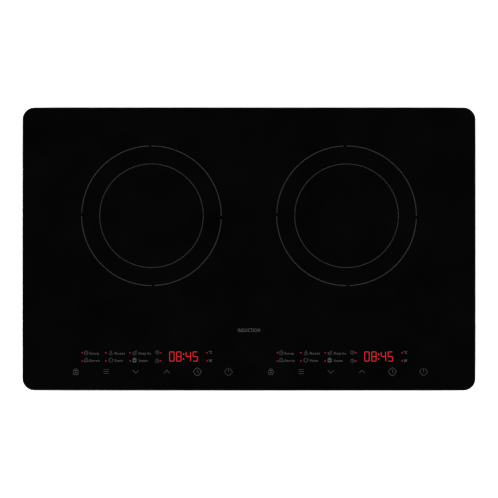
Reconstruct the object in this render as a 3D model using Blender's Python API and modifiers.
"""Countertop induction cooktop with two cooking zones, as an assembly of separate pieces.

Units are metres, with +Z up. The origin is on the surface that the feet stand on, under the
middle of the glass. +X is to the right of the cook and +Y points away from them, so the touch
keys are at the -Y edge. Both zones hold the same pieces, one zone pitch apart.
"""

import math

import bmesh
import bpy
from mathutils import Matrix, Vector

MM = 0.001
GAP = 0.3 * MM  # between pieces that touch
OVERLAP = 0.5 * MM  # between shapes that one piece is joined from

# Overall sizes
TOTAL_HEIGHT = 65 * MM
GLASS_WIDTH = 600 * MM
GLASS_DEPTH = 375 * MM
GLASS_THICKNESS = 4 * MM
GLASS_CORNER = 16 * MM
GLASS_EDGE = 0.8 * MM  # ground bevel on both faces
ZONE_PITCH = 258.2 * MM
ZONE_Y = 44 * MM
ZONES = {"left": -ZONE_PITCH / 2, "right": ZONE_PITCH / 2}

# Heights of the layers under the glass
GLASS_BOTTOM = TOTAL_HEIGHT - GLASS_THICKNESS
SEAL_TOP = GLASS_BOTTOM - GAP
SEAL_BOTTOM = SEAL_TOP - 0.8 * MM
PLATE_TOP = SEAL_BOTTOM - GAP
PLATE_BOTTOM = PLATE_TOP - 2.5 * MM
TUB_TOP = PLATE_BOTTOM - 0.5 * MM
BASE_BOTTOM = 7 * MM
WALL = 2.5 * MM
BASE_TOP = BASE_BOTTOM + WALL

# Top frame
FRAME_WIDTH = GLASS_WIDTH - 10 * MM
FRAME_DEPTH = GLASS_DEPTH - 10 * MM
FRAME_CORNER = GLASS_CORNER - 1 * MM
SKIRT_BOTTOM = 48 * MM
LIP_TOP = SEAL_TOP - GAP
COIL_WINDOW = (244 * MM, 226 * MM, 12 * MM)  # width, depth, corner
CONTROL_WINDOW = (226 * MM, 38 * MM, 4 * MM)
TOWER_RADIUS = 4.5 * MM
TOWER_BOTTOM = 20 * MM
TOWER_PILOT = 2.05 * MM
PEG_ON_FRAME = 2.4 * MM  # radius of the pegs that the control boards hang on

# Housing screws
SCREW_PLACES = [(x * MM, y * MM) for x in (-262, 0, 262) for y in (-128, 128)]
SCREW_SIDES = ("left", "mid", "right")
SCREW_NAMES = [f"housing_screw_{side}_{end}" for side in SCREW_SIDES for end in ("front", "rear")]
SCREW_SHANK = 1.75 * MM
SCREW_HEAD = 3.9 * MM
SCREW_REACH = 12 * MM  # into the frame's tower

# Bottom housing
TUB_WIDTH = FRAME_WIDTH - 2 * WALL - 2 * GAP
TUB_DEPTH = FRAME_DEPTH - 2 * WALL - 2 * GAP
TUB_CORNER = 13 * MM
TUB_LEAN = 12 * MM  # how far each wall comes in from its rim to the floor
TUB_ROUND = 6.3 * MM  # how far the rounding reaches along the floor and the wall
VENT_WIDTH = 3.2 * MM
VENT_HEIGHT = 20 * MM
VENT_PITCH = 9 * MM
VENTS_IN_ROW = 12
VENT_Z = 30 * MM
GRILLE_RADIUS = 43 * MM
GRILLE_PITCH = 7 * MM
GRILLE_RIB = 7 * MM
SCREW_BOSS_TOP = TOWER_BOTTOM - GAP
SCREW_BOSS = 6.5 * MM  # radii of what stands on the floor
COIL_POST = 4.2 * MM
BOARD_PEG = 3.4 * MM
FAN_PEG = 3.6 * MM
SCREW_SEAT = BASE_TOP + 1.7 * MM  # where the screw's head stops in its counterbore

# Feet
FOOT_PLACES = {
    "foot_front_left": (-250 * MM, -146 * MM),
    "foot_front_right": (250 * MM, -146 * MM),
    "foot_rear_left": (-250 * MM, 146 * MM),
    "foot_rear_right": (250 * MM, 146 * MM),
}
FOOT_HOLE = 3.5 * MM

# Mains inlet
INLET_X = -60 * MM
INLET_Z = 30 * MM
INLET_HOLE = 8.3 * MM
INLET_BORE = 4.2 * MM
INLET_PAD_Y = 177 * MM
INLET_PAD = (28 * MM, 9 * MM, 26 * MM)
INLET_PAD_Z = 29 * MM

# Coil, from the glass down
MICA_TOP = GLASS_BOTTOM - 0.5 * MM
MICA_THICKNESS = 0.5 * MM
WINDING_TOP = MICA_TOP - MICA_THICKNESS - GAP
WINDING_HEIGHT = 4.6 * MM
WINDING_INNER = 21.5 * MM
WINDING_OUTER = 86.5 * MM
FORMER_TOP = WINDING_TOP - WINDING_HEIGHT - GAP
FORMER_BOTTOM = FORMER_TOP - 2 * MM
FORMER_RADIUS = 90 * MM
FORMER_HOLE = 9.8 * MM
FORMER_TAB_ANGLES = (90, 210, 330)
FORMER_TAB_REACH = 100 * MM
COIL_LEAD = 1.7 * MM  # radius of a sleeved lead
FERRITE_COUNT = 4
FERRITE_SIZE = (60 * MM, 15 * MM, 4.5 * MM)
FERRITE_MIDDLE = 54 * MM  # from the coil's axis

# Fan
FAN_OFFSET = Vector((-66 * MM, 64 * MM))  # from the zone's centre
FAN_SIDE = 92 * MM
FAN_HEIGHT = 25 * MM
FAN_BOTTOM = 12 * MM
FAN_TOP = FAN_BOTTOM + FAN_HEIGHT
FAN_BORE = 44.4 * MM
FAN_HOLES = 41.25 * MM  # half the side of the mounting square
HUB_RADIUS = 18.5 * MM
BLADE_TIP = 43 * MM
BLADE_COUNT = 7

# Boards
BOARD_SIZE = (160 * MM, 165 * MM)
BOARD_HOLES = (75 * MM, 77.5 * MM)
BOARD_Y = -42.5 * MM
BOARD_BOTTOM = 16 * MM
BOARD_THICKNESS = 1.6 * MM
BOARD_TOP = BOARD_BOTTOM + BOARD_THICKNESS
DEVICE_HEIGHT = 5 * MM
CONTROL_Y = -150 * MM
CONTROL_X = 1 * MM  # middle of the control board, from the zone's centre
CONTROL_SIZE = (238 * MM, 46 * MM)
CONTROL_TOP = 52 * MM
CONTROL_BOSSES = (116 * MM, 12 * MM)
KEY_Y = -162.4 * MM
KEY_FIRST_X = -100.1 * MM  # from the zone's centre
KEY_PITCH = 40.4 * MM
KEY_COUNT = 6
LAMP_ROWS = (-137.4 * MM, -148.2 * MM)
LAMP_COLUMNS = [x * MM for x in (-91.4, -60.3, -28.3, 12.3, 73.4)]  # from the zone's centre
DISPLAY_MIDDLE = (42.5 * MM, -142.6 * MM)
DISPLAY_SIZE = (42 * MM, 17 * MM, 8 * MM)


# ---------------------------------------------------------------- outlines

def arc(centre, radius, start, end, steps):
    """Points along an arc between two angles in degrees, both ends included."""
    turns = [math.radians(start + (end - start) * i / steps) for i in range(steps + 1)]
    return [(centre[0] + radius * math.cos(t), centre[1] + radius * math.sin(t)) for t in turns]


def circle(radius, centre=(0, 0), steps=32):
    return arc(centre, radius, 0, 360, steps)[:-1]


def rectangle(width, depth, corner, centre=(0, 0), steps=4):
    """A rectangle with round corners, anticlockwise."""
    points = []
    for quarter, (side_x, side_y) in enumerate(((1, 1), (-1, 1), (-1, -1), (1, -1))):
        middle = (centre[0] + side_x * (width / 2 - corner), centre[1] + side_y * (depth / 2 - corner))
        points += arc(middle, corner, 90 * quarter, 90 * quarter + 90, steps)
    return points


def sector(inner, outer, start, end, steps):
    """A window between two radii and two angles."""
    return arc((0, 0), outer, start, end, steps) + arc((0, 0), inner, end, start, steps)


def rounded(start, corner, end, steps=3):
    """Points on the curve that leads from one point to another inside their corner."""
    spots = [i / steps for i in range(steps + 1)]
    weights = [((1 - t) ** 2, 2 * t * (1 - t), t**2) for t in spots]
    return [tuple(u * a + v * b + w * c for a, b, c in zip(start, corner, end)) for u, v, w in weights]


# ---------------------------------------------------------------- shapes

def link(obj):
    bpy.data.collections["induction_cooktop"].objects.link(obj)
    return obj


def tidy_mesh(mesh):
    """Welds loose caps, joins flat neighbours, turns every face outwards and shades round ones smooth."""
    work = bmesh.new()
    work.from_mesh(mesh)
    bmesh.ops.remove_doubles(work, verts=work.verts, dist=0.001 * MM)
    bmesh.ops.dissolve_limit(work, angle_limit=math.radians(0.2), verts=work.verts, edges=work.edges)
    bmesh.ops.recalc_face_normals(work, faces=work.faces)
    work.to_mesh(mesh)
    work.free()
    mesh.shade_smooth()
    mesh.set_sharp_from_angle(angle=math.radians(30))


def as_mesh(obj):
    """The object as a plain mesh at the origin, with its modifiers and its place applied."""
    bpy.context.view_layer.update()
    graph = bpy.context.evaluated_depsgraph_get()
    mesh = bpy.data.meshes.new_from_object(obj.evaluated_get(graph))
    mesh.transform(obj.matrix_world)
    tidy_mesh(mesh)
    name = obj.name
    bpy.data.objects.remove(obj)
    return link(bpy.data.objects.new(name, mesh))


def plate(name, outlines, bottom, top):
    """A flat solid between two heights. The first outline is its edge and the rest are holes."""
    curve = bpy.data.curves.new(name, "CURVE")
    curve.dimensions = "2D"
    curve.fill_mode = "BOTH"
    curve.extrude = (top - bottom) / 2
    for outline in outlines:
        spline = curve.splines.new("POLY")
        spline.points.add(len(outline) - 1)
        for point, (x, y) in zip(spline.points, outline):
            point.co = (x, y, 0, 1)
        spline.use_cyclic_u = True
    obj = link(bpy.data.objects.new(name, curve))
    obj.location.z = (top + bottom) / 2
    return as_mesh(obj)


def turned(name, profile, steps=32, closed=False):
    """A solid turned about Z from (radius, height) points. A closed profile makes a ring."""
    mesh = bpy.data.meshes.new(name)
    ends = [(i, i + 1) for i in range(len(profile) - 1)]
    if closed:
        ends.append((len(profile) - 1, 0))
    mesh.from_pydata([(r, 0, z) for r, z in profile], ends, [])
    obj = link(bpy.data.objects.new(name, mesh))
    screw = obj.modifiers.new("turn", "SCREW")
    screw.steps = screw.render_steps = steps
    screw.use_merge_vertices = True
    screw.merge_threshold = 0.01 * MM
    return as_mesh(obj)


def from_bmesh(name, work):
    mesh = bpy.data.meshes.new(name)
    work.to_mesh(mesh)
    work.free()
    return link(bpy.data.objects.new(name, mesh))


def cylinder(name, radius, bottom, top, centre=(0, 0), steps=16):
    """An upright cylinder between two heights."""
    work = bmesh.new()
    place = Matrix.Translation((*centre, (bottom + top) / 2))
    ends = {"radius1": radius, "radius2": radius, "depth": abs(top - bottom)}
    bmesh.ops.create_cone(work, cap_ends=True, segments=steps, matrix=place, **ends)
    return as_mesh(from_bmesh(name, work))


def box(name, size, centre, edge=0):
    """A box with its edges rounded off by a Bevel modifier."""
    work = bmesh.new()
    bmesh.ops.create_cube(work, size=1, matrix=Matrix.Diagonal((*size, 1)))
    obj = from_bmesh(name, work)
    obj.location = centre
    if edge:
        bevel = obj.modifiers.new("edge", "BEVEL")
        bevel.width = edge
        bevel.segments = 1
    return as_mesh(obj)


def lofted(name, rings, heights):
    """A solid skinned over outlines of equal length, each at its own height, with both ends capped."""
    work = bmesh.new()
    loops = [[work.verts.new((x, y, z)) for x, y in ring] for ring, z in zip(rings, heights)]
    for lower, upper in zip(loops, loops[1:]):
        for index in range(len(lower)):
            work.faces.new((lower[index - 1], lower[index], upper[index], upper[index - 1]))
    work.faces.new(loops[0])
    work.faces.new(loops[-1])
    return as_mesh(from_bmesh(name, work))


def smooth_route(route, steps):
    """Points on a smooth curve through the route's own points, by Catmull-Rom blending."""
    ends = [2 * route[0] - route[1], *route, 2 * route[-1] - route[-2]]
    points = []
    for a, b, c, d in zip(ends, ends[1:], ends[2:], ends[3:]):
        for step in range(steps):
            t = step / steps
            rise = (c - a) * t + (2 * a - 5 * b + 4 * c - d) * t**2 + (3 * b - a - 3 * c + d) * t**3
            points.append(b + rise / 2)
    return points + [route[-1]]


def lead(name, route, radius, steps=3):
    """A round wire along a smooth route of Vectors."""
    points = smooth_route(route, steps)
    curve = bpy.data.curves.new(name, "CURVE")
    curve.dimensions = "3D"
    curve.bevel_depth = radius
    curve.bevel_resolution = 2
    curve.use_fill_caps = True
    spline = curve.splines.new("POLY")
    spline.points.add(len(points) - 1)
    for point, place in zip(spline.points, points):
        point.co = (*place, 1)
    return as_mesh(link(bpy.data.objects.new(name, curve)))


def gathered(name, shapes):
    """Several shapes as the bodies of one object, to join or cut with in one step."""
    work = bmesh.new()
    for shape in shapes:
        work.from_mesh(shape.data)
        bpy.data.objects.remove(shape)
    return from_bmesh(name, work)


def boolean(target, shapes, operation):
    """The target joined with the shapes (UNION) or cut by them (DIFFERENCE)."""
    tool = gathered("tool", shapes)
    modifier = target.modifiers.new("boolean", "BOOLEAN")
    modifier.operation = operation
    modifier.object = tool
    made = as_mesh(target)
    bpy.data.objects.remove(tool)
    return made


def turn(obj, angle, axis):
    """Turns a shape's mesh about an axis through the origin, by an angle in degrees."""
    obj.data.transform(Matrix.Rotation(math.radians(angle), 4, axis))
    return obj


def shift(obj, x=0, y=0, z=0):
    obj.data.transform(Matrix.Translation((x, y, z)))
    return obj


def copy_to(obj, name, place):
    """Another object that shares this one's mesh."""
    twin = link(bpy.data.objects.new(name, obj.data))
    twin.location = place
    return twin


def place_all(obj, places):
    """One object for each named place, all with the first one's mesh."""
    for name, place in places.items():
        copy_to(obj, name, place)
    bpy.data.objects.remove(obj)


def in_both_zones(obj, offset=(0, 0, 0)):
    """NAME_left and NAME_right, from a shape made around the zone's own axis."""
    name = obj.name
    places = {f"{name}_{side}": Vector((x, ZONE_Y, 0)) + Vector(offset) for side, x in ZONES.items()}
    place_all(obj, places)


# ---------------------------------------------------------------- outer pieces

def glass_top():
    """The glass-ceramic plate, with a ground bevel round both faces."""
    edge = rectangle(GLASS_WIDTH, GLASS_DEPTH, GLASS_CORNER, steps=6)
    glass = plate("glass_top", [edge], GLASS_BOTTOM, TOTAL_HEIGHT)
    bevel = glass.modifiers.new("ground_edge", "BEVEL")
    bevel.width = GLASS_EDGE
    bevel.segments = 2
    bevel.limit_method = "ANGLE"
    bevel.angle_limit = math.radians(60)


def glass_seal():
    """The flat bead of silicone that bonds the glass to the frame."""
    outer = rectangle(FRAME_WIDTH - 8 * MM, FRAME_DEPTH - 8 * MM, FRAME_CORNER - 4 * MM)
    inner = rectangle(FRAME_WIDTH - 20 * MM, FRAME_DEPTH - 20 * MM, FRAME_CORNER - 8 * MM)
    plate("glass_seal", [outer, inner], SEAL_BOTTOM, SEAL_TOP)


def screw_tower(place):
    """A tower with a blind pilot hole, which a housing screw bites into."""
    pilot_end = TOWER_BOTTOM + SCREW_REACH + 4 * MM
    profile = [
        (0, PLATE_BOTTOM + OVERLAP),
        (TOWER_RADIUS, PLATE_BOTTOM + OVERLAP),
        (TOWER_RADIUS, TOWER_BOTTOM),
        (TOWER_PILOT, TOWER_BOTTOM),
        (TOWER_PILOT, pilot_end),
        (0, pilot_end),
    ]
    return shift(turned("tower", profile, 8), *place)


def control_bosses():
    """Four short pegs for each control board, under the frame's plate."""
    places = [
        (zone_x + CONTROL_X + side_x * CONTROL_BOSSES[0], CONTROL_Y + side_y * CONTROL_BOSSES[1])
        for zone_x in ZONES.values()
        for side_x in (-1, 1)
        for side_y in (-1, 1)
    ]
    heights = (CONTROL_TOP + GAP, PLATE_BOTTOM + OVERLAP)
    return [cylinder("boss", PEG_ON_FRAME, *heights, place, 6) for place in places]


def top_frame():
    """The moulding that carries the glass: a windowed plate in a skirt that laps over the tub."""
    edge = rectangle(FRAME_WIDTH - WALL, FRAME_DEPTH - WALL, FRAME_CORNER - WALL / 2)
    frame = plate("top_frame", [edge], PLATE_BOTTOM, PLATE_TOP)
    outer = rectangle(FRAME_WIDTH, FRAME_DEPTH, FRAME_CORNER)
    inner = rectangle(FRAME_WIDTH - 2 * WALL, FRAME_DEPTH - 2 * WALL, FRAME_CORNER - WALL)
    skirt = plate("skirt", [outer, inner], SKIRT_BOTTOM, LIP_TOP)
    frame = boolean(frame, [skirt], "UNION")
    windows = []
    for zone_x in ZONES.values():
        for outline in (
            rectangle(*COIL_WINDOW, (zone_x, ZONE_Y), 3),
            rectangle(*CONTROL_WINDOW, (zone_x + CONTROL_X, CONTROL_Y), 2),
        ):
            windows.append(plate("window", [outline], SKIRT_BOTTOM, TOTAL_HEIGHT))
    frame = boolean(frame, windows, "DIFFERENCE")
    hanging = [screw_tower(place) for place in SCREW_PLACES] + control_bosses()
    boolean(frame, hanging, "UNION")


def tub_profile():
    """(inset, height) points from under the floor, up outside the wall, then down inside it."""
    height = TUB_TOP - BASE_BOTTOM
    slope = math.hypot(TUB_LEAN, height)
    along = Vector((-TUB_LEAN, height)) / slope
    skin = WALL * slope / height
    outside = Vector((TUB_LEAN, BASE_BOTTOM))
    inside = Vector((skin + TUB_LEAN * (TUB_TOP - BASE_TOP) / height, BASE_TOP))
    inward = Vector((1, 0))
    outer = rounded(outside + inward * TUB_ROUND, outside, outside + along * TUB_ROUND)
    inner = rounded(inside + along * TUB_ROUND, inside, inside + inward * TUB_ROUND)
    return outer + [(0, TUB_TOP)], [(skin, TUB_TOP)] + inner


def tub_shell():
    """The tub's skin: a flat floor with leaning walls."""
    rings = []
    heights = []
    for profile, corner in zip(tub_profile(), (TUB_CORNER, TUB_CORNER - WALL)):
        for inset, height in profile:
            rings.append(rectangle(TUB_WIDTH - 2 * inset, TUB_DEPTH - 2 * inset, corner, steps=3))
            heights.append(height)
    return lofted("bottom_housing", rings, heights)


def standoffs():
    """Bosses on the tub's floor: coil posts, board pegs, fan pegs and screw bosses."""
    bottom = BASE_TOP - OVERLAP
    shapes = []
    for zone_x in ZONES.values():
        for angle in map(math.radians, FORMER_TAB_ANGLES):
            reach = FORMER_TAB_REACH * Vector((math.cos(angle), math.sin(angle)))
            place = Vector((zone_x, ZONE_Y)) + reach
            shapes.append(cylinder("post", COIL_POST, bottom, FORMER_BOTTOM - GAP, place, 8))
        for side_x in (-1, 1):
            for side_y in (-1, 1):
                peg = (zone_x + side_x * BOARD_HOLES[0], BOARD_Y + side_y * BOARD_HOLES[1])
                shapes.append(cylinder("peg", BOARD_PEG, bottom, BOARD_BOTTOM - GAP, peg, 6))
                fan_x = zone_x + FAN_OFFSET.x + side_x * FAN_HOLES
                fan_y = ZONE_Y + FAN_OFFSET.y + side_y * FAN_HOLES
                shapes.append(cylinder("fan_peg", FAN_PEG, bottom, FAN_BOTTOM - GAP, (fan_x, fan_y), 6))
    for place in SCREW_PLACES:
        shapes.append(cylinder("screw_boss", SCREW_BOSS, bottom, SCREW_BOSS_TOP, place, 8))
    return shapes


def intake_grille(middle):
    """Cutters for the slots under a fan: rows across a circle, with a rib down the middle."""
    rows = int(GRILLE_RADIUS / GRILLE_PITCH)
    cutters = []
    for row in range(-rows, rows + 1):
        across = row * GRILLE_PITCH
        length = math.sqrt(GRILLE_RADIUS**2 - across**2) - GRILLE_RIB / 2
        for side in (-1, 1):
            centre = (middle[0] + side * (length + GRILLE_RIB) / 2, middle[1] + across, BASE_BOTTOM)
            cutters.append(box("grille", (length, VENT_WIDTH, 4 * WALL), centre))
    return cutters


def vent_row(angle, reach, middle):
    """Cutters for a row of upright vents in the wall that faces an angle, at this reach."""
    cutters = []
    for index in range(VENTS_IN_ROW):
        along = middle + (index - (VENTS_IN_ROW - 1) / 2) * VENT_PITCH
        vent = box("vent", (24 * MM, VENT_WIDTH, VENT_HEIGHT), (reach, along, VENT_Z))
        cutters.append(turn(vent, angle, "Z"))
    return cutters


def screw_recess(place):
    """Cutter for a housing screw: a counterbore from below and a clearance hole."""
    top = SCREW_BOSS_TOP + WALL
    clearance = SCREW_SHANK + 0.45 * MM
    counterbore = SCREW_HEAD + 0.5 * MM
    profile = [
        (0, top),
        (clearance, top),
        (clearance, SCREW_SEAT),
        (counterbore, SCREW_SEAT),
        (counterbore, 0),
        (0, 0),
    ]
    return shift(turned("recess", profile, 8), *place)


def bottom_housing():
    """The tub: floor, walls, bosses, vents, intake grilles and the mains inlet."""
    pad = box("pad", INLET_PAD, (INLET_X, INLET_PAD_Y - INLET_PAD[1] / 2, INLET_PAD_Z))
    tub = boolean(tub_shell(), [pad], "UNION")
    tub = boolean(tub, standoffs(), "UNION")
    cutters = [screw_recess(place) for place in SCREW_PLACES]
    for place in FOOT_PLACES.values():
        cutters.append(cylinder("foot_hole", FOOT_HOLE, 0, BASE_TOP + WALL, place, 12))
    for zone_x in ZONES.values():
        cutters += intake_grille((zone_x + FAN_OFFSET.x, ZONE_Y + FAN_OFFSET.y))
    for angle in (0, 180):
        cutters += vent_row(angle, (TUB_WIDTH - TUB_LEAN) / 2, 0)
    for middle in (-170 * MM, 170 * MM):
        cutters += vent_row(90, (TUB_DEPTH - TUB_LEAN) / 2, middle)
    inlet = turn(cylinder("inlet", INLET_HOLE, -30 * MM, 30 * MM), 90, "X")
    cutters.append(shift(inlet, INLET_X, INLET_PAD_Y, INLET_Z))
    boolean(tub, cutters, "DIFFERENCE")


def feet():
    """Push-in rubber feet: a pad, a neck through the floor and a barb inside it."""
    neck = FOOT_HOLE - GAP
    profile = [
        (0, BASE_TOP + 4 * MM),
        (neck - 1 * MM, BASE_TOP + 4 * MM),
        (neck + 1.2 * MM, BASE_TOP + 1.2 * MM),
        (neck + 1.2 * MM, BASE_TOP + GAP),
        (neck, BASE_TOP + GAP),
        (neck, BASE_BOTTOM - GAP),
        (12 * MM, BASE_BOTTOM - GAP),
        (11 * MM, 1 * MM),
        (10 * MM, 0),
        (0, 0),
    ]
    foot = turned("foot", profile, 12)
    place_all(foot, {name: (*place, 0) for name, place in FOOT_PLACES.items()})


def cross(width, length):
    """The outline of a cross recess whose arms narrow towards their ends."""
    root, tip, reach = width / 2, width / 3, length / 2
    points = []
    for x, y in ((1, 0), (0, 1), (-1, 0), (0, -1)):
        arm = ((reach, -tip), (reach, tip), (root, root))
        points += [(along * x - across * y, along * y + across * x) for along, across in arm]
    return points


def housing_screws():
    """Pan-head screws that come up through the floor into the frame's towers."""
    head_bottom = BASE_BOTTOM + 1.2 * MM
    head_top = SCREW_SEAT - GAP
    tip = TOWER_BOTTOM + SCREW_REACH
    profile = [
        (0, tip),
        (0.4 * MM, tip),
        (SCREW_SHANK, tip - 2.4 * MM),
        (SCREW_SHANK, head_top),
        (SCREW_HEAD, head_top),
        (SCREW_HEAD, head_bottom + 0.9 * MM),
        (SCREW_HEAD - 1 * MM, head_bottom),
        (0, head_bottom),
    ]
    recess = plate("recess", [cross(0.9 * MM, 4.4 * MM)], 0, head_bottom + 1.5 * MM)
    screw = boolean(turned("screw", profile, 10), [recess], "DIFFERENCE")
    place_all(screw, {name: (*place, 0) for name, place in zip(SCREW_NAMES, SCREW_PLACES)})


def cord_gland():
    """The mains inlet's bushing: a flange outside the rear wall and a snap collar inside it."""
    inside = -16 * MM
    flange = GAP
    collar = -12 * MM  # clear of the leaning wall's inner face
    profile = [
        (INLET_BORE, flange + 3 * MM),
        (10 * MM, flange + 3 * MM),
        (11 * MM, flange + 2 * MM),
        (11 * MM, flange),
        (INLET_HOLE - GAP, flange),
        (INLET_HOLE - GAP, collar),
        (INLET_HOLE + 1 * MM, collar - 0.6 * MM),
        (INLET_HOLE - 1 * MM, inside),
        (INLET_BORE, inside),
    ]
    gland = turn(turned("cord_gland", profile, 16, closed=True), -90, "X")
    shift(gland, INLET_X, INLET_PAD_Y, INLET_Z)


def terminal_block():
    """Three-pole block where the mains conductors end, with a clamp screw well over each."""
    pitch = 10 * MM
    middle = Vector((INLET_X, 136 * MM, BASE_TOP + GAP + 8 * MM))
    block = box("terminal_block", (31 * MM, 18 * MM, 16 * MM), middle, 0.8 * MM)
    wells = []
    for pole in (-1, 0, 1):
        place = (middle.x + pole * pitch, middle.y)
        wells.append(cylinder("well", 3 * MM, middle.z + 3 * MM, middle.z + 20 * MM, place, 8))
        entry = turn(cylinder("entry", 2.6 * MM, -20 * MM, -4 * MM, steps=8), 90, "X")
        wells.append(shift(entry, place[0], middle.y, middle.z - 2 * MM))
    boolean(block, wells, "DIFFERENCE")


# ---------------------------------------------------------------- coil

def former_edge():
    """The former's outline: a disc with three tabs that rest on the tub's posts."""
    half = 5.5 * MM
    root = math.degrees(math.asin(half / FORMER_RADIUS))
    points = []
    for index, angle in enumerate(FORMER_TAB_ANGLES):
        tip = math.radians(angle)
        centre = (FORMER_TAB_REACH * math.cos(tip), FORMER_TAB_REACH * math.sin(tip))
        points += arc(centre, half, angle - 90, angle + 90, 4)
        following = FORMER_TAB_ANGLES[(index + 1) % 3] + (360 if index == 2 else 0)
        points += arc((0, 0), FORMER_RADIUS, angle + root, following - root, 10)
    return points


def coil_former():
    """The moulded spider that the winding lies on, with the ferrite bars bonded underneath."""
    spokes = 8
    spoke_angle = 14
    holes = [circle(FORMER_HOLE, steps=12)]
    for spoke in range(spokes):
        start = 360 / spokes * spoke + spoke_angle
        holes.append(sector(30 * MM, 82 * MM, start, start + 360 / spokes - 2 * spoke_angle, 2))
    for angle in map(math.radians, FORMER_TAB_ANGLES):
        place = (FORMER_TAB_REACH * math.cos(angle), FORMER_TAB_REACH * math.sin(angle))
        holes.append(circle(1.8 * MM, place, 6))
    former = plate("coil_former", [former_edge(), *holes], FORMER_BOTTOM, FORMER_TOP)
    rims = []
    for inner, outer in ((18.6 * MM, 20.6 * MM), (87.6 * MM, 89.4 * MM)):
        edges = [circle(outer, steps=24), circle(inner, steps=24)]
        rims.append(plate("rim", edges, FORMER_TOP - OVERLAP, FORMER_TOP + 3.5 * MM))
    in_both_zones(boolean(former, rims, "UNION"))


def coil_winding():
    """The flat litz coil, as the ring that its turns fill."""
    edges = [circle(WINDING_OUTER, steps=32), circle(WINDING_INNER, steps=32)]
    in_both_zones(plate("coil_winding", edges, WINDING_TOP - WINDING_HEIGHT, WINDING_TOP))


def mica_sheet():
    edges = [circle(88 * MM, steps=32), circle(10 * MM, steps=16)]
    in_both_zones(plate("mica_sheet", edges, MICA_TOP - MICA_THICKNESS, MICA_TOP))


def ferrite_bars():
    """Flux-guide bars under the former's main spokes."""
    z = FORMER_BOTTOM - GAP - FERRITE_SIZE[2] / 2
    for side, zone_x in ZONES.items():
        for index in range(FERRITE_COUNT):
            bar = box(f"ferrite_bar_{index + 1}_{side}", FERRITE_SIZE, (FERRITE_MIDDLE, 0, z), 0.5 * MM)
            turn(bar, 360 / FERRITE_COUNT * index, "Z")
            bar.location = (zone_x, ZONE_Y, 0)


def temperature_sensor():
    """The thermistor in its silicone cup, pushed up against the middle of the glass."""
    flange_top = FORMER_BOTTOM - GAP
    profile = [
        (0, GLASS_BOTTOM - GAP),
        (5.5 * MM, GLASS_BOTTOM - GAP),
        (6.5 * MM, GLASS_BOTTOM - 1.3 * MM),
        (6.5 * MM, FORMER_TOP + 3 * MM),
        (9 * MM, FORMER_TOP + 2 * MM),
        (9 * MM, flange_top),
        (13 * MM, flange_top),
        (13 * MM, flange_top - 3 * MM),
        (0, flange_top - 3 * MM),
    ]
    in_both_zones(turned("temperature_sensor", profile, 16))


def coil_leads():
    """The winding's two sleeved ends, through a window in the former and down to the board."""
    start = (WINDING_TOP - WINDING_HEIGHT - 2 * GAP) / MM
    end = (BOARD_TOP + GAP) / MM
    inner = [(31.4, -13, start), (31.5, -13, 50.5), (42, -15, 45.5), (54, -16, 36), (58, -16, 26)]
    outer = [(72.1, -29.9, start), (72, -30, 49), (69, -30, 40), (61, -30, 31), (58, -30, 24)]
    inner.append((58, -16, end))
    outer.append((58, -30, end))
    for name, millimetres in (("coil_lead_inner", inner), ("coil_lead_outer", outer)):
        in_both_zones(lead(name, [Vector(point) * MM for point in millimetres], COIL_LEAD))


# ---------------------------------------------------------------- fan

def at_fan(obj, name):
    """NAME_left and NAME_right on the fans' axes."""
    places = {f"{name}_{side}": (x + FAN_OFFSET.x, ZONE_Y + FAN_OFFSET.y, 0) for side, x in ZONES.items()}
    place_all(obj, places)


def fan_frame():
    """The square frame: two flanges, a round duct, four struts and the bearing tube."""
    flange = 3.5 * MM
    corners = [circle(2.2 * MM, (x * FAN_HOLES, y * FAN_HOLES), 6) for x in (-1, 1) for y in (-1, 1)]
    square = rectangle(FAN_SIDE, FAN_SIDE, 5 * MM, steps=2)
    frame = plate("fan_frame", [square, *corners], FAN_BOTTOM, FAN_BOTTOM + flange)
    upper = plate("upper", [square, *corners], FAN_TOP - flange, FAN_TOP)
    duct = cylinder("duct", FAN_BORE + 1.4 * MM, FAN_BOTTOM + OVERLAP, FAN_TOP - OVERLAP, steps=28)
    frame = boolean(frame, [duct], "UNION")
    frame = boolean(frame, [upper], "UNION")
    bore = cylinder("bore", FAN_BORE, 0, FAN_TOP + flange, steps=28)
    frame = boolean(frame, [bore], "DIFFERENCE")
    base_radius = 17 * MM
    base_bottom = FAN_TOP - 3 * MM
    strut_length = FAN_BORE + 1 * MM - base_radius + 1 * MM
    struts = []
    for index in range(4):
        middle = (base_radius - 1 * MM + strut_length / 2, 0, FAN_TOP - 2 * MM)
        struts.append(turn(box("strut", (strut_length, 3.5 * MM, 1.6 * MM), middle), 90 * index, "Z"))
    profile = [
        (2.1 * MM, FAN_TOP - OVERLAP),
        (base_radius, FAN_TOP - OVERLAP),
        (base_radius, base_bottom),
        (4 * MM, base_bottom),
        (4 * MM, FAN_BOTTOM + 7 * MM),
        (2.1 * MM, FAN_BOTTOM + 7 * MM),
    ]
    motor_base = boolean(turned("motor_base", profile, 12, closed=True), struts, "UNION")
    at_fan(boolean(frame, [motor_base], "UNION"), "fan_frame")


def blade(angle):
    """One blade: a helical sheet from hub to tip, thickened by Solidify."""
    root = HUB_RADIUS - 0.8 * MM
    sweep = math.radians(40)
    skew = math.radians(10)
    middle = (FAN_BOTTOM + FAN_TOP) / 2 - 2 * MM
    work = bmesh.new()
    bmesh.ops.create_grid(work, x_segments=3, y_segments=1, size=0.5)
    for vertex in work.verts:
        along, out = vertex.co.x, vertex.co.y + 0.5
        radius = root + out * (BLADE_TIP - root)
        turned_by = math.radians(angle) + along * sweep + out * skew
        rise = along * (17 - 5 * out) * MM
        vertex.co = (radius * math.cos(turned_by), radius * math.sin(turned_by), middle + rise)
    sheet = from_bmesh("blade", work)
    solidify = sheet.modifiers.new("thickness", "SOLIDIFY")
    solidify.thickness = 1.3 * MM
    solidify.offset = 0
    return as_mesh(sheet)


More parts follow.
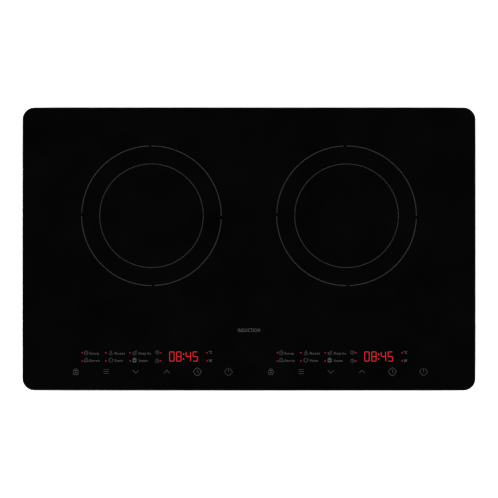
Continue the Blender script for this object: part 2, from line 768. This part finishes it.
def fan_rotor():
    """The hub cup with its shaft, and the blades. It turns about its own Z axis."""
    bottom = FAN_BOTTOM + 2 * MM
    top = FAN_TOP - 4.5 * MM
    profile = [
        (0, FAN_TOP - 3 * MM),
        (1.5 * MM, FAN_TOP - 3 * MM),
        (1.5 * MM, bottom + 2 * MM),
        (HUB_RADIUS - 1.6 * MM, bottom + 2 * MM),
        (HUB_RADIUS - 1.6 * MM, top),
        (HUB_RADIUS, top),
        (HUB_RADIUS, bottom + 1.5 * MM),
        (HUB_RADIUS - 1.5 * MM, bottom),
        (0, bottom),
    ]
    hub = turned("hub", profile, 14)
    blades = [blade(360 / BLADE_COUNT * index) for index in range(BLADE_COUNT)]
    at_fan(boolean(hub, blades, "UNION"), "fan_rotor")


# ---------------------------------------------------------------- power board

def on_board(obj):
    """NAME_left and NAME_right, from a shape made at its place on the board."""
    in_both_zones(obj, (0, -ZONE_Y, 0))


def power_board():
    places = [(x * BOARD_HOLES[0], BOARD_Y + y * BOARD_HOLES[1]) for x in (-1, 1) for y in (-1, 1)]
    holes = [circle(1.7 * MM, place, 6) for place in places]
    edge = rectangle(*BOARD_SIZE, 3 * MM, (0, BOARD_Y), 2)
    on_board(plate("power_board", [edge, *holes], BOARD_BOTTOM, BOARD_TOP))


def heat_sink():
    """An extrusion with upright fins, its flat base on the two power devices."""
    width, depth, base, height, fin = 66 * MM, 66 * MM, 4 * MM, 20 * MM, 1.6 * MM
    fins = 10
    outline = [(-width / 2, base), (-width / 2, 0), (width / 2, 0), (width / 2, base)]
    for index in reversed(range(fins)):
        left = (width - 2 * fin) * (index / (fins - 1) - 0.5) - fin / 2
        outline += [(left + fin, base), (left + fin, height), (left, height), (left, base)]
    sink = turn(plate("heat_sink", [outline], -depth / 2, depth / 2), 90, "X")
    on_board(shift(sink, -43 * MM, 1 * MM, BOARD_TOP + DEVICE_HEIGHT + 2 * GAP))


def power_devices():
    """The switching transistor and the bridge rectifier, clamped under the heat sink."""
    z = BOARD_TOP + GAP + DEVICE_HEIGHT / 2
    on_board(box("igbt", (16 * MM, 20 * MM, DEVICE_HEIGHT), (-60 * MM, -4 * MM, z), 0.6 * MM))
    on_board(box("bridge_rectifier", (25 * MM, 15 * MM, DEVICE_HEIGHT), (-28 * MM, -4 * MM, z), 0.6 * MM))


def capacitors():
    """The two film capacitors in their moulded boxes."""
    z = BOARD_TOP + GAP
    bus = (32 * MM, 18 * MM, 25 * MM)
    resonant = (42 * MM, 20 * MM, 26 * MM)
    on_board(box("bus_capacitor", bus, (22 * MM, 20 * MM, z + bus[2] / 2), 0.8 * MM))
    on_board(box("resonant_capacitor", resonant, (26 * MM, -20 * MM, z + resonant[2] / 2), 0.8 * MM))


def filter_choke():
    """The wound toroid that filters the mains input, lying flat on the board."""
    section = circle(1, steps=8)
    half_height, half_width, middle = 7 * MM, 5.5 * MM, 11 * MM
    z = BOARD_TOP + GAP + half_height
    profile = [(middle + half_width * x, z - half_height * y) for x, y in section]
    choke = turned("filter_choke", profile, 16, closed=True)
    on_board(shift(choke, -48 * MM, -78 * MM))


# ---------------------------------------------------------------- controls

def on_control(obj):
    in_both_zones(obj, (0, -ZONE_Y, 0))


def key_places():
    return [(KEY_FIRST_X + KEY_PITCH * index, KEY_Y) for index in range(KEY_COUNT)]


def control_board():
    """The board under the control window, with holes for the frame's pegs."""
    holes = [
        circle(1.4 * MM, (CONTROL_X + x * CONTROL_BOSSES[0], CONTROL_Y + y * CONTROL_BOSSES[1]), 6)
        for x in (-1, 1)
        for y in (-1, 1)
    ]
    edge = rectangle(*CONTROL_SIZE, 3 * MM, (CONTROL_X, CONTROL_Y), 2)
    on_control(plate("control_board", [edge, *holes], CONTROL_TOP - BOARD_THICKNESS, CONTROL_TOP))


def key_carrier():
    """The moulding that holds the touch springs and screens each lamp from the next."""
    width, depth = CONTROL_WINDOW[0] - 1.2 * MM, CONTROL_WINDOW[1] - 1.2 * MM
    margin = 2 * GAP
    holes = [circle(3.6 * MM, place, 8) for place in key_places()]
    holes += [circle(1.9 * MM, (x, y), 5) for x in LAMP_COLUMNS for y in LAMP_ROWS]
    holes.append(rectangle(DISPLAY_SIZE[0] + margin, DISPLAY_SIZE[1] + margin, 0.5 * MM, DISPLAY_MIDDLE, 1))
    edge = rectangle(width, depth, 3 * MM, (CONTROL_X, CONTROL_Y), 2)
    bottom = CONTROL_TOP + GAP
    on_control(plate("key_carrier", [edge, *holes], bottom, bottom + 5 * MM))


def display_module():
    """The four-digit lamp block, just under the glass."""
    z = CONTROL_TOP + GAP + DISPLAY_SIZE[2] / 2
    on_control(box("display_module", DISPLAY_SIZE, (*DISPLAY_MIDDLE, z), 0.5 * MM))


# ---------------------------------------------------------------- materials

FINISHES = {
    "black_glass": ((0.004, 0.004, 0.005), 0.06, 0),
    "black_plastic": ((0.012, 0.012, 0.013), 0.45, 0),
    "black_rubber": ((0.015, 0.015, 0.015), 0.85, 0),
    "grey_silicone": ((0.10, 0.10, 0.10), 0.7, 0),
    "white_silicone": ((0.75, 0.75, 0.72), 0.6, 0),
    "zinc_steel": ((0.60, 0.60, 0.62), 0.3, 1),
    "copper_litz": ((0.72, 0.30, 0.14), 0.35, 1),
    "heat_resin": ((0.03, 0.03, 0.035), 0.6, 0),
    "dark_ferrite": ((0.05, 0.05, 0.055), 0.75, 0),
    "mica": ((0.62, 0.52, 0.36), 0.5, 0),
    "fan_plastic": ((0.02, 0.02, 0.02), 0.4, 0),
    "board_laminate": ((0.02, 0.14, 0.06), 0.4, 0),
    "bare_aluminium": ((0.80, 0.81, 0.82), 0.35, 1),
    "device_epoxy": ((0.02, 0.02, 0.02), 0.5, 0),
    "capacitor_box": ((0.60, 0.10, 0.08), 0.4, 0),
    "choke_winding": ((0.65, 0.30, 0.10), 0.4, 1),
    "glass_sleeve": ((0.80, 0.78, 0.70), 0.8, 0),
    "white_plastic": ((0.75, 0.75, 0.74), 0.4, 0),
}

# The start of a piece's name gives its finish.
FINISH_OF = {
    "glass_top": "black_glass",
    "glass_seal": "grey_silicone",
    "top_frame": "black_plastic",
    "bottom_housing": "black_plastic",
    "foot": "black_rubber",
    "housing_screw": "zinc_steel",
    "cord_gland": "black_plastic",
    "terminal_block": "white_plastic",
    "coil_former": "heat_resin",
    "coil_winding": "copper_litz",
    "coil_lead": "glass_sleeve",
    "mica_sheet": "mica",
    "ferrite_bar": "dark_ferrite",
    "temperature_sensor": "white_silicone",
    "fan": "fan_plastic",
    "power_board": "board_laminate",
    "heat_sink": "bare_aluminium",
    "igbt": "device_epoxy",
    "bridge_rectifier": "device_epoxy",
    "bus_capacitor": "capacitor_box",
    "resonant_capacitor": "capacitor_box",
    "filter_choke": "choke_winding",
    "control_board": "board_laminate",
    "key_carrier": "white_plastic",
    "display_module": "device_epoxy",
}


def finish(name):
    """A Principled material with this finish's colour, roughness and metallic value."""
    if name in bpy.data.materials:
        return bpy.data.materials[name]
    colour, roughness, metallic = FINISHES[name]
    material = bpy.data.materials.new(name)
    material.use_nodes = True
    shader = material.node_tree.nodes["Principled BSDF"]
    shader.inputs["Base Color"].default_value = (*colour, 1)
    shader.inputs["Roughness"].default_value = roughness
    shader.inputs["Metallic"].default_value = metallic
    material.diffuse_color = (*colour, 1)
    return material


def paint(pieces):
    for obj in pieces:
        kind = next(start for start in FINISH_OF if obj.name.startswith(start))
        obj.data.materials.clear()
        obj.data.materials.append(finish(FINISH_OF[kind]))


# ---------------------------------------------------------------- assembly

PIECES = (
    glass_top, glass_seal, top_frame, bottom_housing, feet, housing_screws, cord_gland, terminal_block,
    mica_sheet, coil_winding, coil_former, ferrite_bars, temperature_sensor, coil_leads,
    fan_frame, fan_rotor, power_board, heat_sink, power_devices, capacitors, filter_choke,
    control_board, key_carrier, display_module,
)


def main():
    for obj in list(bpy.data.objects):
        bpy.data.objects.remove(obj)
    assembly = bpy.data.collections.new("induction_cooktop")
    bpy.context.scene.collection.children.link(assembly)
    for build in PIECES:
        build()
    paint(assembly.objects)


main()
